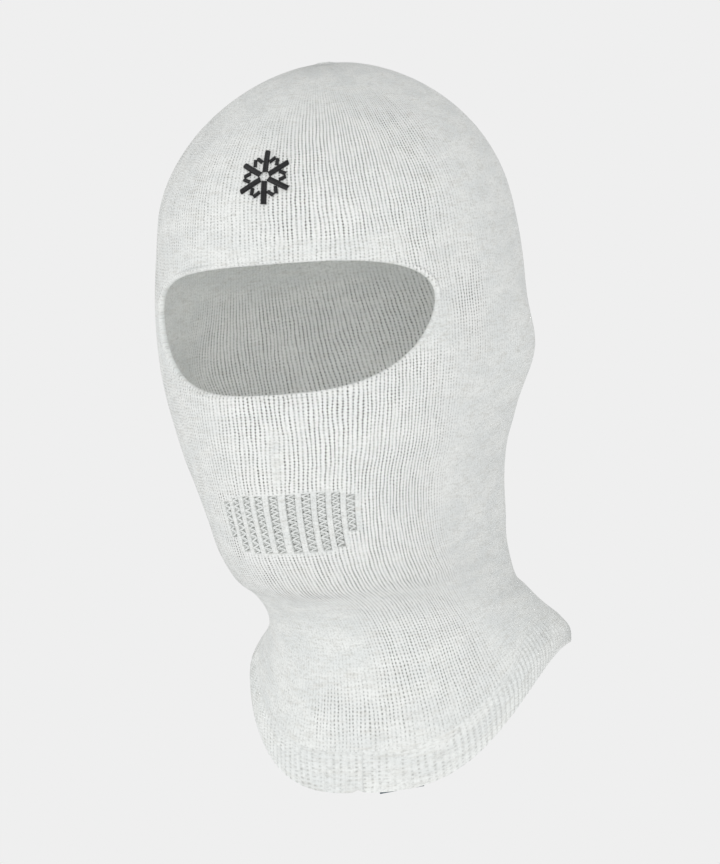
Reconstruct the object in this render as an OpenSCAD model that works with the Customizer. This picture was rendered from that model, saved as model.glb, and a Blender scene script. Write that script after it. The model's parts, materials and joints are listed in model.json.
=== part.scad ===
/* [Head] */
// Half width of the fabric over the temples
head_half_w = 79; // [73:1:85]
// Depth from the ear line forward to the cheek level
head_front = 98; // [92:1:104]
// Depth from the ear line back to the rear of the head
head_back = 112; // [106:1:118]
// Height of the crown above the eyes
crown_h = 116; // [110:1:124]
// How far the chin pouch stands in front of the cheek level
chin_reach = 5; // [2:1:8]
// How far each ear pushes the fabric out
ear_bulge = 6; // [3:0.5:8]

/* [Neck and bib] */
// Half width of the neck at its narrowest
neck_half_w = 56; // [52:1:60]
// Half width of the bib over the shoulders
bib_half_w = 73; // [68:1:78]
// Depth of the hem below the eyes at the front
hem_drop = 206; // [198:1:216]
// How much higher the hem is over the shoulders
hem_lift = 47; // [30:1:50]
// Share of that lift that the hem keeps at the back
back_lift = 0.7; // [0:0.05:0.9]
// Height of the ribbed hem
hem_h = 18; // [14:1:22]

/* [Fabric] */
// Thickness of the knitted fabric
fabric_t = 2.4; // [1.8:0.1:3]

/* [Eye opening] */
// Half angle of the opening, seen from the middle of the head
eye_half_angle = 53; // [48:0.5:56]
// Height of the opening's two corners above the eyes
eye_corner_z = 14; // [10:1:16]
// Rise of the top edge above the corners
eye_rise = 21.5; // [17:0.5:25]
// Fall of the bottom edge below the corners
eye_fall = 33.5; // [28:0.5:36]
// Width of the turned welt round the opening
welt_w = 6; // [4:0.5:8]
// How far the welt's roll stands proud
welt_roll = 0.6; // [0.3:0.1:1]

/* [Mouth vent] */
// Half angle of the vent, seen from the middle of the head
vent_half_angle = 27.5; // [20:0.5:30]
// Height of the vent's middle below the eyes
vent_drop = 75; // [72:1:78]
// Height of the vent
vent_h = 29; // [24:1:31]
// Number of open ladders between the pillars
vent_gaps = 10; // [8:1:12]
// Share of each ladder's pitch that is open
vent_open = 0.6; // [0.45:0.05:0.7]
// Height of the bars at the top and bottom of the vent
vent_bar_h = 1.6; // [1.2:0.2:2.4]
// Thickness of the lacing yarn
lacing_t = 0.9; // [0.6:0.1:1.1]

/* [Embroidered snowflake] */
// Height of the snowflake's middle above the eyes
motif_z = 72; // [68:1:75]
// Length of each arm
motif_r = 12.5; // [10:0.5:14]
// Width of each satin bar
satin_w = 2.4; // [1.8:0.1:2.8]
// Height of the satin stitches over the fabric
satin_h = 0.9; // [0.5:0.1:1.2]

/* [Care label] */
// Width of the label
label_w = 20; // [14:1:24]
// Length of the label from its seam to its fold
label_l = 15.5; // [14:0.5:19]
// Thickness of the folded label
label_t = 0.6; // [0.4:0.1:0.8]
// Angle of the label round the hem, towards the wearer's left
label_angle = 11; // [5:1:14]

/* [Hidden] */

knit = [0.86, 0.865, 0.85];
knit_dark = [0.78, 0.785, 0.77];
thread_black = [0.04, 0.04, 0.05];
label_teal = [0.22, 0.30, 0.33];

// Profile rows from the crown down to the hem, each
// [height, front, back, middle, half width, roundness, share of the hem's lift].
// Front, back and middle are measured from the ear line.
dome_z = 45;
dome_front = 0.92 * head_front;
dome_back = head_back;
dome_half = 0.962 * head_half_w;
crown_shift = 9;
function dome_width(u, p) = max(pow(1 - pow(u, p), 1 / p), 0.01);
function dome_row(th) =
    let (u = sin(th), f = dome_width(u, 2), b = dome_width(u, 2.25))
    [dome_z + (crown_h - dome_z) * u, dome_front * f - crown_shift * (1 - f),
     dome_back * b + crown_shift * (1 - b), crown_shift * (1 - f), dome_half * dome_width(u, 1.8), 2.05, 0];
chin_front = head_front + chin_reach;
throat_z = -124;
bib_step = (hem_drop + throat_z) / 5;
function bib_row(k, front, back, middle, half) =
    [throat_z - k * bib_step, front, back, middle, half, 2 + 0.04 * k, k / 5];
rows = concat(
    [for (th = [90, 78, 66, 53, 40, 27, 14]) dome_row(th)],
    [[dome_z, dome_front, dome_back, 0, dome_half, 2.1, 0],
     [15, 0.97 * head_front, 0.94 * head_back, 0, head_half_w, 2.15, 0],
     [-15, head_front, 0.84 * head_back, 0, head_half_w - 1, 2.15, 0],
     [-45, head_front + chin_reach / 2, 0.665 * head_back, 2, 0.9 * head_half_w, 2.2, 0],
     [-60, chin_front, 0.59 * head_back, 5, 0.835 * head_half_w, 2.2, 0],
     [-75, chin_front - 1, 0.575 * head_back, 9, 0.79 * head_half_w, 2.2, 0],
     [-92, chin_front - 8, 0.61 * head_back, 13, neck_half_w + 4, 2.2, 0],
     [-106, chin_front - 27, 77, 20, neck_half_w + 1, 2.1, 0],
     bib_row(0, 43, 94, 30, neck_half_w),
     bib_row(1, 30, 104, 38, neck_half_w + 2),
     bib_row(2, 27, 110, 44, bib_half_w - 11),
     bib_row(3, 29, 112, 50, bib_half_w - 5),
     bib_row(4, 32, 111, 53, bib_half_w),
     bib_row(5, 35, 108, 55, bib_half_w)]);
last = len(rows) - 1;

// Ear bulge: height and angle of its middle, and how wide it spreads
ear_z = -18;
ear_angle = 98;
ear_half_h = 19;
ear_half_angle = 16;

// Zone lines between the panels
crown_line_z = 90;
chin_line_z = -92;
collar_line_z = throat_z;
front_angle = eye_half_angle + 5.5;
bib_line = last - 3;
closure_row = 0.4;

// A smooth curve through the rows
function blend4(a, b, c, d, f) =
    0.5 * (2 * b + (c - a) * f + (2 * a - 5 * b + 4 * c - d) * f * f + (3 * b - a - 3 * c + d) * f * f * f);
function row_at(t) =
    let (i = min(max(floor(t), 0), last - 1))
    blend4(rows[max(i - 1, 0)], rows[i], rows[i + 1], rows[min(i + 2, last)], t - i);
heights = [for (k = [last * 20:-1:0]) [row_at(k / 20)[0], k / 20]];
function t_of(z) = lookup(z, heights);
function spow(v, p) = sign(v) * pow(abs(v), p);
function lift_share(a) = let (s = pow(abs(sin(a)), 3)) cos(a) > 0 ? s : back_lift + (1 - back_lift) * s;
function bell(v) = exp(-v * v);
function side_angle(a) = let (w = ((a % 360) + 360) % 360) w > 180 ? 360 - w : w;
function ear_push(a, z) =
    ear_bulge * bell((z - ear_z) / ear_half_h) * bell((side_angle(a) - ear_angle) / ear_half_angle);

// Point of the outer face at angle a round from the nose and row t down from the crown
function skin(a, t) =
    let (r = row_at(t), e = 2 / r[5], c = cos(a), s = sin(a), d = c > 0 ? r[1] + r[3] : r[2] - r[3])
    [(r[4] + ear_push(a, r[0])) * spow(s, e), r[3] - d * spow(c, e), r[0] + hem_lift * r[6] * lift_share(a)];
function unit(v) = v / norm(v);
function outward(a, t) =
    unit(cross(skin(a, min(t + 0.02, last)) - skin(a, t - 0.02), skin(a + 0.5, t) - skin(a - 0.5, t)));
function layer(a, t, out) = skin(a, t) + out * outward(a, t);

// Row where the ribbed hem starts at angle a: the rows are closer over the shoulders
function hem_line(a) = last - hem_h / (bib_step - hem_lift * lift_share(a) / 5);

// Upper and lower edge of an oval round the eyes, grown by g, at share u of its half angle
function oval_top(u, g) = eye_corner_z + (eye_rise + g) * pow(max(1 - pow(abs(u), 2.5), 0), 1 / 2.4);
function oval_low(u, g) = eye_corner_z - (eye_fall + g) * pow(max(1 - pow(abs(u), 3), 0), 1 / 1.6);

// A closed shell between two grids of points: rows of outer and inner points.
// Cells where keep is 0 are left open, and round closes the last column on the first.
module shell(outer, inner, keep = [], round = false) {
    points = concat([for (r = outer) each r], [for (r = inner) each r]);
    m = len(outer) - 1;
    n = len(outer[0]) - (round ? 0 : 1);
    w = len(outer[0]);
    k = (m + 1) * w;
    function cell(i, j) =
        let (jj = round ? (j + n) % n : j)
        i < 0 || i >= m || jj < 0 || jj >= n ? 0 : (len(keep) == 0 ? 1 : keep[i][jj]);
    function id(i, j) = i * w + (round ? (j + w) % w : j);
    function quad(a, b, c, d) = [[a, b, c], [a, c, d]];
    faces = [for (i = [0:m - 1], j = [0:n - 1]) if (cell(i, j) == 1)
        each concat(
            quad(id(i, j), id(i + 1, j), id(i + 1, j + 1), id(i, j + 1)),
            quad(k + id(i, j), k + id(i, j + 1), k + id(i + 1, j + 1), k + id(i + 1, j)),
            cell(i - 1, j) == 1 ? [] : quad(id(i, j), id(i, j + 1), k + id(i, j + 1), k + id(i, j)),
            cell(i + 1, j) == 1 ? []
                : quad(id(i + 1, j + 1), id(i + 1, j), k + id(i + 1, j), k + id(i + 1, j + 1)),
            cell(i, j - 1) == 1 ? [] : quad(id(i + 1, j), id(i, j), k + id(i, j), k + id(i + 1, j)),
            cell(i, j + 1) == 1 ? []
                : quad(id(i, j + 1), id(i + 1, j + 1), k + id(i + 1, j + 1), k + id(i, j + 1)))];
    polyhedron(points = points, faces = faces, convexity = 8);
}

// A panel of fabric: tops and bottoms give the row range of each column
module panel(angles, tops, bottoms, steps, round = false) {
    function t_at(i, j) = tops[j] + (bottoms[j] - tops[j]) * i / steps;
    shell([for (i = [0:steps]) [for (j = [0:len(angles) - 1]) skin(angles[j], t_at(i, j))]],
          [for (i = [0:steps]) [for (j = [0:len(angles) - 1]) layer(angles[j], t_at(i, j), -fabric_t)]],
          [], round);
}
ring_angles = [for (a = [0:5:355]) a];
front_shares = [for (k = [-12:12]) sin(90 * k / 12)];
front_angles = [for (u = front_shares) front_angle * u];
back_angles = [for (k = [0:46]) front_angle + (360 - 2 * front_angle) * k / 46];
function same(v, list) = [for (x = list) v];

module ring_panel(t0, t1, steps) {
    panel(ring_angles, same(t0, ring_angles), same(t1, ring_angles), steps, true);
}

// Smooth crown, narrowing to the closure
module crown_cap() color(knit) ring_panel(closure_row, t_of(crown_line_z), 8);

// Loops drawn together at the top, with the locking thread lying over them
module crown_closure() {
    inset = 0.86;
    top = row_at(closure_row)[0];
    rim = [for (a = [0:15:345]) skin(a, closure_row)];
    mid = (rim[0] + rim[12]) / 2;
    function oval_of(share) = [for (p = rim) let (q = mid + (p - mid) * share) [q[0], q[1]]];
    color(knit_dark) {
        translate([0, 0, top - fabric_t]) linear_extrude(fabric_t + 0.2) polygon(oval_of(inset));
        translate([0, 0, top + 0.2]) linear_extrude(0.7) polygon(oval_of(0.6 * inset));
    }
}

// Ribbed forehead, from the crown down to the welt
module forehead_panel() {
    color(knit)
        panel(front_angles, same(t_of(crown_line_z), front_angles),
              [for (u = front_shares) t_of(oval_top(u, welt_w))], 6);
}

// Smooth back, sides and nape, with the room for the ears
module head_back_panel() {
    color(knit)
        panel(back_angles, same(t_of(crown_line_z), back_angles), same(t_of(collar_line_z), back_angles), 26);
}

// Row and column lines of the lower face, with lines along the window for the vent
vent_top = -vent_drop + vent_h / 2;
vent_low = -vent_drop - vent_h / 2;
window_line = t_of(vent_top);
window_end = t_of(vent_low);
window_share = vent_half_angle / front_angle;
face_shares = [for (k = [-12:12]) abs(k) <= 6 ? k * window_share / 6
    : sign(k) * (window_share + (1 - window_share) * sin(15 * (abs(k) - 6)))];
face_rows_above = 6;
window_rows = 4;
face_rows_below = 1;
function face_row(i, top) =
    i <= face_rows_above ? top + (window_line - top) * i / face_rows_above
    : i <= face_rows_above + window_rows
    ? window_line + (window_end - window_line) * (i - face_rows_above) / window_rows
    : window_end + (t_of(chin_line_z) - window_end) * (i - face_rows_above - window_rows) / face_rows_below;

// Ribbed lower face, with a window for the vent
module face_panel() {
    n = face_rows_above + window_rows + face_rows_below;
    tops = [for (u = face_shares) t_of(oval_low(u, welt_w))];
    open_row = function (i) i >= face_rows_above && i < face_rows_above + window_rows;
    keep = [for (i = [0:n - 1]) [for (j = [0:23]) open_row(i) && j >= 6 && j < 18 ? 0 : 1]];
    color(knit)
        shell([for (i = [0:n]) [for (j = [0:24]) skin(front_angle * face_shares[j], face_row(i, tops[j]))]],
              [for (i = [0:n]) [for (j = [0:24])
                  layer(front_angle * face_shares[j], face_row(i, tops[j]), -fabric_t)]], keep);
}

// Column lines of the vent: pillar, gap, pillar and so on
pitch = 2 * vent_half_angle / (vent_gaps + (1 - vent_open));
pillar = pitch * (1 - vent_open);
function vent_column(j) = -vent_half_angle + floor(j / 2) * pitch + (j % 2) * pillar;
vent_bar = (window_end - window_line) * vent_bar_h / vent_h;

// Knitted ladder mesh over the mouth
module mouth_vent() {
    open_h = window_end - window_line - 2 * vent_bar;
    lines = concat([window_line], [for (k = [0:4]) window_line + vent_bar + open_h * k / 4], [window_end]);
    n = 2 * vent_gaps + 1;
    keep = [for (i = [0:5]) [for (j = [0:n - 1]) i == 0 || i == 5 || j % 2 == 0 ? 1 : 0]];
    color(knit)
        shell([for (t = lines) [for (j = [0:n]) skin(vent_column(j), t)]],
              [for (t = lines) [for (j = [0:n]) layer(vent_column(j), t, -fabric_t)]], keep);
}

// A square yarn along a path of [angle, row] points, centred the given depth under the outer face
module yarn(path, thick, depth, closed = false) {
    n = len(path) - 1;
    function along(i) =
        let (a = closed ? path[(i + n) % (n + 1)] : path[max(i - 1, 0)], b = closed ? path[(i + 1) % (n + 1)]
             : path[min(i + 1, n)])
        unit(skin(b[0], b[1]) - skin(a[0], a[1]));
    function corner(i, k) =
        let (p = path[i], o = outward(p[0], p[1]), s = unit(cross(o, along(i))))
        skin(p[0], p[1]) - depth * o + thick / 2 * (o * [1, 1, -1, -1][k] + s * [-1, 1, 1, -1][k]);
    pts = [for (i = [0:n]) for (k = [0:3]) corner(i, k)];
    m = closed ? n : n - 1;
    function id(i, k) = (i % (n + 1)) * 4 + k % 4;
    sides = [for (i = [0:m], k = [0:3]) each
        [[id(i, k), id(i + 1, k), id(i + 1, k + 1)], [id(i, k), id(i + 1, k + 1), id(i, k + 1)]]];
    e = 4 * n;
    caps = closed ? [] : [[0, 1, 2], [0, 2, 3], [e + 2, e + 1, e], [e + 3, e + 2, e]];
    polyhedron(points = pts, faces = concat(sides, caps), convexity = 6);
}

// Zigzag yarn that bridges each ladder of the vent
module vent_lacing() {
    zigs = 10;
    gap = pitch - pillar;
    inset = 0.2 * gap;
    first = window_line + 1.3 * vent_bar;
    run = window_end - window_line - 2.6 * vent_bar;
    color(knit_dark)
        for (g = [0:vent_gaps - 1])
            yarn([for (k = [0:zigs])
                [vent_column(2 * g + 1) + (k % 2 == 0 ? inset : gap - inset), first + run * k / zigs]],
                lacing_t, fabric_t / 2);
}

// Fabric turning back under the chin
module chin_gusset() {
    color(knit)
        panel(front_angles, same(t_of(chin_line_z), front_angles),
              same(t_of(collar_line_z), front_angles), 6);
}

module neck_tube() color(knit) ring_panel(t_of(collar_line_z), bib_line, 4);
module bib_skirt() {
    color(knit)
        panel(ring_angles, same(bib_line, ring_angles), [for (a = ring_angles) hem_line(a)], 4, true);
}

// Raised ribs down the hem
module hem_rib() {
    ribs = 72;
    steps = 3;
    rise = 0.7;
    angles = [for (k = [0:ribs - 1]) 360 * k / ribs];
    function t_at(i, k) = hem_line(angles[k]) + (last - hem_line(angles[k])) * i / steps;
    function face(rib, valley) = [for (i = [0:steps]) [for (k = [0:ribs - 1])
        layer(angles[k], t_at(i, k), k % 2 == 1 ? rib : valley)]];
    color(knit) shell(face(rise, 0), face(-fabric_t, -fabric_t), [], true);
}

// Points round the eye opening: angle and row at turn w, grown by g
function oval(w, g) =
    let (u = sin(w), grow = front_angle - eye_half_angle, half = eye_half_angle + grow * g / welt_w)
    [half * u, t_of(cos(w) > 0 ? oval_top(u, g) : oval_low(u, g))];
welt_turns = [for (k = [0:63]) let (w = 360 * k / 64) w + 6 * sin(2 * w)];

// Turned edge round the eyes, thicker at its roll
module eye_welt() {
    shares = [0.95, 0.6, 0.25, 0];
    rise = [0, 0.4, 1, 0.2];
    outer = [for (i = [0:3]) [for (w = welt_turns)
        let (p = oval(w, welt_w * shares[i])) layer(p[0], p[1], welt_roll * rise[i])]];
    inner = [for (i = [0:3]) [for (w = welt_turns)
        let (p = oval(w, welt_w * shares[i])) layer(p[0], p[1], -fabric_t - welt_roll * rise[i] / 2)]];
    color(knit) shell(outer, inner, [], true);
}

// Elastic yarn laid round the inside of the welt
module eye_elastic() {
    color(knit_dark)
        yarn([for (w = welt_turns) oval(w, 0.7 * welt_w)], 0.7, fabric_t + welt_roll + 0.4, true);
}

// Point of the forehead at x to the wearer's left and y above the snowflake's middle
motif_row = t_of(motif_z);
mm_per_degree = norm(skin(1, motif_row) - skin(-1, motif_row)) / 2;
mm_per_row = norm(skin(0, motif_row + 0.5) - skin(0, motif_row - 0.5));
function motif(x, y) = [x / mm_per_degree, motif_row - y / mm_per_row];

// A satin bar from p to q on the forehead, between two heights over the outer face
module satin_bar(p, q, w, low, high) {
    d = unit(q - p);
    s = [-d[1], d[0]] * w / 2;
    n = 3;
    function at(i, side, out) =
        let (m = motif((p + (q - p) * i / n + side * s)[0], (p + (q - p) * i / n + side * s)[1]))
        layer(m[0], m[1], out);
    shell([for (i = [0:n]) [for (side = [-1, 0, 1]) at(i, side, side == 0 ? high : (high + low) / 2)]],
          [for (i = [0:n]) [for (side = [-1, 0, 1]) at(i, side, low)]]);
}
module snowflake(w, low, high) {
    for (k = [0:5]) {
        d = [sin(60 * k), cos(60 * k)];
        e = [cos(60 * k), -sin(60 * k)];
        satin_bar(2.1 * d, motif_r * d, w, low, high);
        for (h = [-1, 1]) {
            root = 0.55 * motif_r * d + h * (w / 2 + 0.45) * e;
            tip = root + 0.27 * motif_r * (0.6 * d + 0.8 * h * e);
            satin_bar(root, tip, 0.62 * w, low, high);
        }
    }
}
module snowflake_stitching() color(thread_black) snowflake(satin_w, 0.1, satin_h);
module snowflake_bobbin_thread() {
    color(knit_dark) snowflake(0.55 * satin_w, -fabric_t - 1.25, -fabric_t - 0.95);
}

// Soft backing behind the stitches, inside the forehead
module snowflake_backing() {
    half = motif_r + 3.5;
    function grid(out) = [for (y = [3:-1:-3]) [for (x = [-3:3])
        let (m = motif(half * x / 3, half * y / 3)) layer(m[0], m[1], out)]];
    color("white") shell(grid(-fabric_t - 0.35), grid(-fabric_t - 0.8));
}

// The label hangs from its seam, just clear of the inside of the hem
seam_row = last - 14 / bib_step;
seam_point = layer(label_angle, seam_row, -fabric_t - 1.6);
seam_turn = atan2(skin(label_angle + 1, seam_row)[1] - skin(label_angle - 1, seam_row)[1],
                  skin(label_angle + 1, seam_row)[0] - skin(label_angle - 1, seam_row)[0]);
module care_label() {
    color(label_teal)
        translate([seam_point[0], seam_point[1], seam_point[2]])
            rotate([0, 0, seam_turn])
                translate([-label_w / 2, -label_t / 2, -label_l])
                    cube([label_w, label_t, label_l]);
}

// Short stitches that tack the label's top edge to the hem
module label_stitches() {
    count = 7;
    color(knit_dark)
        translate([seam_point[0], seam_point[1], seam_point[2]])
            rotate([0, 0, seam_turn])
                for (k = [0:count - 1])
                    translate([(k - (count - 1) / 2) * label_w / count - 0.8, -1.9, -0.5])
                        cube([1.6, 1.4, 1]);
}

crown_cap();
crown_closure();
forehead_panel();
head_back_panel();
face_panel();
mouth_vent();
vent_lacing();
chin_gusset();
neck_tube();
bib_skirt();
hem_rib();
eye_welt();
eye_elastic();
snowflake_stitching();
snowflake_backing();
snowflake_bobbin_thread();
care_label();
label_stitches();
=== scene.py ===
import json
import math

import bpy
import numpy as np
from mathutils import Matrix, Vector


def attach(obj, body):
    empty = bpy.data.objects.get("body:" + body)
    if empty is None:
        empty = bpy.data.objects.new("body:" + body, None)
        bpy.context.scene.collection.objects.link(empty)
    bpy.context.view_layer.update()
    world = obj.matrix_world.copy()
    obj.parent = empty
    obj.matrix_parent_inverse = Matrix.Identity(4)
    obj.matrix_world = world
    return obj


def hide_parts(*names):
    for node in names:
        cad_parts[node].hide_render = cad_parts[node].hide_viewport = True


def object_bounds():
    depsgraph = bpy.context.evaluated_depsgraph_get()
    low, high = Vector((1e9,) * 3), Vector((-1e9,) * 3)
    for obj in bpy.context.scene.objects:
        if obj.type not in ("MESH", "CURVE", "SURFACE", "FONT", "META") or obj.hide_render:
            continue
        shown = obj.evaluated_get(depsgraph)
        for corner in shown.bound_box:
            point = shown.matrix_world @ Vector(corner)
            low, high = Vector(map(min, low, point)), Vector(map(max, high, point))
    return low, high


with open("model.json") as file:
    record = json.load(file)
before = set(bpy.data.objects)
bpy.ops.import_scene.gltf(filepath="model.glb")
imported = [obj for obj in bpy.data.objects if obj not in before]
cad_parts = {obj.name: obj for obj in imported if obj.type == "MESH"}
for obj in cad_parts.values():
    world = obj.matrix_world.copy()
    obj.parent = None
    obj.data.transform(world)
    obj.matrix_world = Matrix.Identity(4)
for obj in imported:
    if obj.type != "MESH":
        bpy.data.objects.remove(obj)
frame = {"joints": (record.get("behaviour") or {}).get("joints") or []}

cadLow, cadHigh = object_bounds()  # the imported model's own box
mm = 0.001
tau = 2 * math.pi

# The head form in millimetres and degrees: height 0 is the eye line, angle 0 the nose
form = {
    "halfWidth": 79, "front": 98, "back": 112, "crownHeight": 116, "chinReach": 5, "earBulge": 6,
    "neckHalfWidth": 56, "bibHalfWidth": 73, "hemDrop": 206, "hemLift": 47, "backLift": 0.7, "hemHeight": 18,
    "fabric": 2.4, "crownLine": 90, "chinLine": -92, "throat": -124, "frontAngle": 58.5,
    "closureRow": 0.4,
}
# The knit: ribs counted from the nose to the vent's end, to the panel's edge, and to the back
knit = {
    "ventRibs": 19, "sideRibs": 25, "backRibs": 97, "ribWidth": 1.85, "course": 1.35, "fineRibs": 12,
    "ribDepth": 0.22, "smoothDepth": 0.07, "wander": 0.55, "hemRibs": 156, "hemRibDepth": 0.95,
}


# The fan of ribs inside the back of the head: where they stand upright, and their lean in ribs a course
backFan = {"upright": 250, "spread": 90, "least": 0.02, "most": 0.29}


def domeWidth(u, power):
    return max((1 - u ** power) ** (1 / power), 0.01)


def domeRow(degrees):
    u = math.sin(math.radians(degrees))
    front, back, shift = domeWidth(u, 2), domeWidth(u, 2.25), 9
    return [45 + (form["crownHeight"] - 45) * u, 0.92 * form["front"] * front - shift * (1 - front),
            form["back"] * back + shift * (1 - back), shift * (1 - front),
            0.962 * form["halfWidth"] * domeWidth(u, 1.8), 2.05, 0]


def profileRows():
    # height, front, back, middle, half width, roundness, share of the hem's lift
    width, front, back = form["halfWidth"], form["front"], form["back"]
    neck, bib, chin = form["neckHalfWidth"], form["bibHalfWidth"], form["front"] + form["chinReach"]
    step = (form["hemDrop"] + form["throat"]) / 5
    made = [domeRow(degrees) for degrees in (90, 78, 66, 53, 40, 27, 14)]
    made += [[45, 0.92 * front, back, 0, 0.962 * width, 2.1, 0],
             [15, 0.97 * front, 0.94 * back, 0, width, 2.15, 0],
             [-15, front, 0.84 * back, 0, width - 1, 2.15, 0],
             [-45, front + form["chinReach"] / 2, 0.665 * back, 2, 0.9 * width, 2.2, 0],
             [-60, chin, 0.59 * back, 5, 0.835 * width, 2.2, 0],
             [-75, chin - 1, 0.575 * back, 9, 0.79 * width, 2.2, 0],
             [-92, chin - 8, 0.61 * back, 13, neck + 4, 2.2, 0],
             [-106, chin - 27, 77, 20, neck + 1, 2.1, 0]]
    bibRows = [(43, 94, 30, neck), (30, 104, 38, neck + 2), (27, 110, 44, bib - 11),
               (29, 112, 50, bib - 5), (32, 111, 53, bib), (35, 108, 55, bib)]
    made += [[form["throat"] - k * step, f, b, m, h, 2 + 0.04 * k, k / 5]
             for k, (f, b, m, h) in enumerate(bibRows)]
    return np.array(made)


rows = profileRows()
lastRow = len(rows) - 1


def rowAt(t):
    i = np.clip(np.floor(t).astype(int), 0, lastRow - 1)
    f = (t - i)[..., None]
    a, b, c, d = rows[np.maximum(i - 1, 0)], rows[i], rows[i + 1], rows[np.minimum(i + 2, lastRow)]
    return 0.5 * (2 * b + (c - a) * f + (2 * a - 5 * b + 4 * c - d) * f * f
                  + (3 * b - a - 3 * c + d) * f ** 3)


fineRows = np.linspace(0, lastRow, lastRow * 20 + 1)
fineHeights = rowAt(fineRows)[:, 0]


def rowOf(height):
    return np.interp(-np.asarray(height, float), -fineHeights, fineRows)


def bell(x):
    return np.exp(-np.square(x))


def smoothStep(x, low, high):
    s = np.clip((x - low) / (high - low), 0, 1)
    return s * s * (3 - 2 * s)


def foldedAngle(angle):
    return (angle + 180) % 360 - 180


def liftShare(angle):
    # the hem rises over the shoulders and stays high at the back
    side = abs(np.sin(np.radians(angle))) ** 3
    return np.where(np.cos(np.radians(angle)) > 0, side, form["backLift"] + (1 - form["backLift"]) * side)


def skin(angle, t):
    angle, t = np.broadcast_arrays(np.asarray(angle, float), np.asarray(t, float))
    row, turn = rowAt(t), np.radians(angle)
    c, s, power = np.cos(turn), np.sin(turn), 2 / row[..., 5]
    reach = np.where(c > 0, row[..., 1] + row[..., 3], row[..., 2] - row[..., 3])
    ear = form["earBulge"] * bell((row[..., 0] + 18) / 19) * bell((abs(foldedAngle(angle)) - 98) / 16)
    return np.stack([(row[..., 4] + ear) * np.sign(s) * abs(s) ** power,
                     row[..., 3] - reach * np.sign(c) * abs(c) ** power,
                     row[..., 0] + form["hemLift"] * row[..., 6] * liftShare(angle)], -1)


def unit(v):
    return v / np.maximum(np.linalg.norm(v, axis=-1, keepdims=True), 1e-9)


def outward(angle, t):
    down = skin(angle, np.minimum(t + 0.02, lastRow)) - skin(angle, np.maximum(t - 0.02, 0))
    return unit(np.cross(down, skin(angle + 0.5, t) - skin(angle - 0.5, t)))


# Ribs keep an even width on every ring, so their place is measured along the ring
fineAngles = np.linspace(0, 180, 721)
frontRibs = knit["ventRibs"] + knit["sideRibs"]
halfRibs = frontRibs + knit["backRibs"]
allRibs = 2 * halfRibs
knotAngles = [0, 27.5, form["frontAngle"], 180]
knotRibs = [0, knit["ventRibs"], frontRibs, halfRibs]
fineRibs = np.linspace(0, halfRibs, halfRibs * 4 + 1)


def ribTables():
    ribAt, angleAt = [], []
    for t in fineRows:
        points = skin(fineAngles, np.full(fineAngles.shape, max(t, 0.15)))
        along = np.concatenate([[0], np.cumsum(np.linalg.norm(np.diff(points, axis=0), axis=1))])
        rib = np.interp(along, np.interp(knotAngles, fineAngles, along), knotRibs)
        ribAt.append(rib)
        angleAt.append(np.interp(fineRibs, rib, fineAngles))
    return np.array(ribAt), np.array(angleAt)


ribAt, angleAt = ribTables()
sideArc = np.linalg.norm(np.diff(skin(np.full(fineRows.shape, 50.0), fineRows), axis=0), axis=1)
fineCourses = np.concatenate([[0], np.cumsum(sideArc)]) / knit["course"]


def readTable(table, t, x, perUnit):
    y, x = np.clip(t * 20, 0, len(table) - 1.001), np.clip(x * perUnit, 0, table.shape[1] - 1.001)
    i, j = y.astype(int), x.astype(int)
    f, g = y - i, x - j
    return ((table[i, j] * (1 - g) + table[i, j + 1] * g) * (1 - f)
            + (table[i + 1, j] * (1 - g) + table[i + 1, j + 1] * g) * f)


def angleOf(rib, t):
    size = abs(rib)
    past = size > halfRibs
    angle = readTable(angleAt, t, np.where(past, allRibs - size, size), 4)
    return np.sign(rib) * np.where(past, 360 - angle, angle)


def ribOf(angle, t):
    folded = foldedAngle(angle)
    rib = np.sign(folded) * readTable(ribAt, t, abs(folded), 4)
    return np.where(angle - folded > 1, rib + allRibs, rib)


def courseOf(t):
    return np.interp(t, fineRows, fineCourses)


# How deep the ribs are: 1 where they are stretched open, near 0 where the knit lies smooth
def ribsOutside(angle, height):
    a = foldedAngle(angle)
    lean = a - 0.16 * (height - 40)
    forehead = smoothStep(-lean, -74, -46) * (0.42 + 0.58 * smoothStep(lean, -14, 8))
    forehead = forehead * smoothStep(-height, -112, -84) * (1 - 0.55 * smoothStep(-abs(a), -48, -40)
                                                          * smoothStep(-height, -46, -43))
    forehead = forehead * smoothStep(height, 8, 24)
    corner = bell((a - 66) / 8) * bell((height - 12) / 24)
    face = smoothStep(-a, -66, -46) * (0.45 + 0.55 * smoothStep(a, -26, -8))
    face = face * smoothStep(-height, -2, 14) * smoothStep(height, -119, -108)
    middle = bell((a + 1) / 1.8) * smoothStep(-height, 32, 40) * smoothStep(height, -62, -56)
    neck = smoothStep(a, 0, 16) * smoothStep(-a, -64, -42) * smoothStep(height, -196, -150) * 0.75
    neck = neck * smoothStep(-height, 104, 124)
    creases = 0.6 * smoothStep(a, -22, -16) * smoothStep(-a, -22, -14) * bell((height + 172) / 14)
    nape = 0.35 * smoothStep(abs(a), 125, 150) * smoothStep(-height, -60, 0)
    return np.clip(np.maximum.reduce([forehead, corner, face * (1 - 0.85 * middle), neck, creases, nape,
                                      np.full(a.shape, 0.08)]), 0, 1)


def ribsInside(angle, height):
    a = np.mod(angle, 360)
    back = smoothStep(a, 148, 176) * smoothStep(-a, -272, -248) * smoothStep(-height, -20, -2)
    return np.clip(np.maximum(0.9 * back, 0.06), 0, 1)


def insideLean(angle, course):
    # the ribs fan out on the inside of the head's back, more the further round they are
    turned = np.clip((backFan["upright"] - angle) / backFan["spread"], 0, 1.1)
    slope = backFan["least"] + (backFan["most"] - backFan["least"]) * turned
    return slope * (course - courseOf(rowOf(0))) * smoothStep(180 - abs(180 - angle), 70, 110)


def ribShape(rib):
    return (0.5 + 0.5 * np.cos(tau * rib)) ** 0.75 - 0.55


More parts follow.
